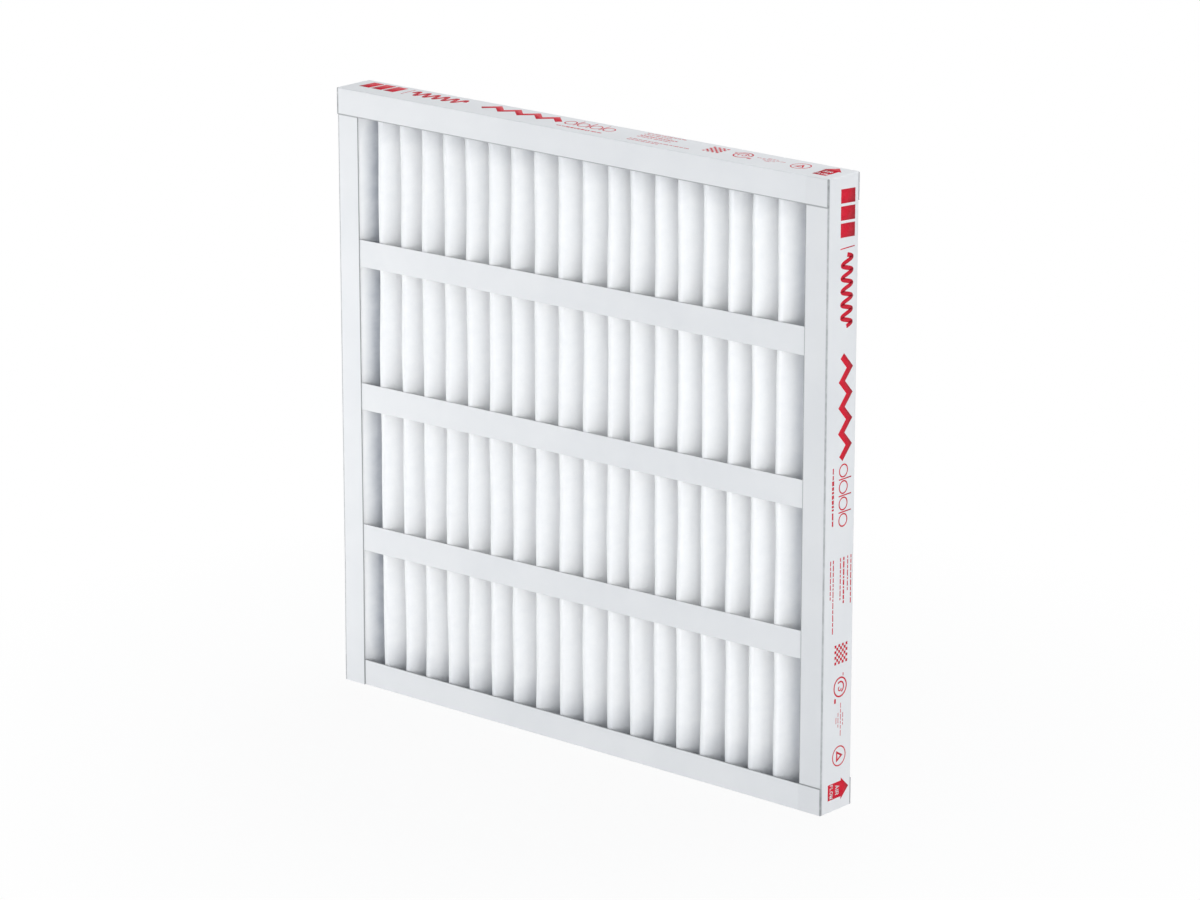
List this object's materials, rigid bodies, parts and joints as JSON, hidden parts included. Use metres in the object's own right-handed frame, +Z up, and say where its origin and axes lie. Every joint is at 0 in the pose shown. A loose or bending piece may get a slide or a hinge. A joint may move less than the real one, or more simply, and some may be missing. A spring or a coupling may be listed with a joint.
{
  "type": "pleated panel air filter",
  "caption": "Square panel air filter: a pleated nonwoven sheet glued into a folded board frame, with board straps across both faces.",
  "frame": {"origin": "middle of the bottom edge, half way through the panel's depth", "axes": "+X to the right seen from the front face, +Y through the panel from the front face to the back face, the way the air goes, +Z up"},
  "size_m": [0.597, 0.0446, 0.597],
  "materials": {
    "board": "satin",
    "media": "matte",
    "glue": "satin",
    "ink": "satin"
  },
  "bodies": {
    "root": {"frame": "board", "pleated_media": "media", "strap_front_bottom": "board", "strap_front_middle": "board", "strap_front_top": "board", "strap_back_bottom": "board", "strap_back_middle": "board", "strap_back_top": "board", "strap_bead_front_bottom": "glue", "strap_bead_front_middle": "glue", "strap_bead_front_top": "glue", "strap_bead_back_bottom": "glue", "strap_bead_back_middle": "glue", "strap_bead_back_top": "glue", "edge_glue_bottom": "glue", "edge_glue_top": "glue", "edge_glue_left": "glue", "edge_glue_right": "glue"}
  },
  "joints": []
}
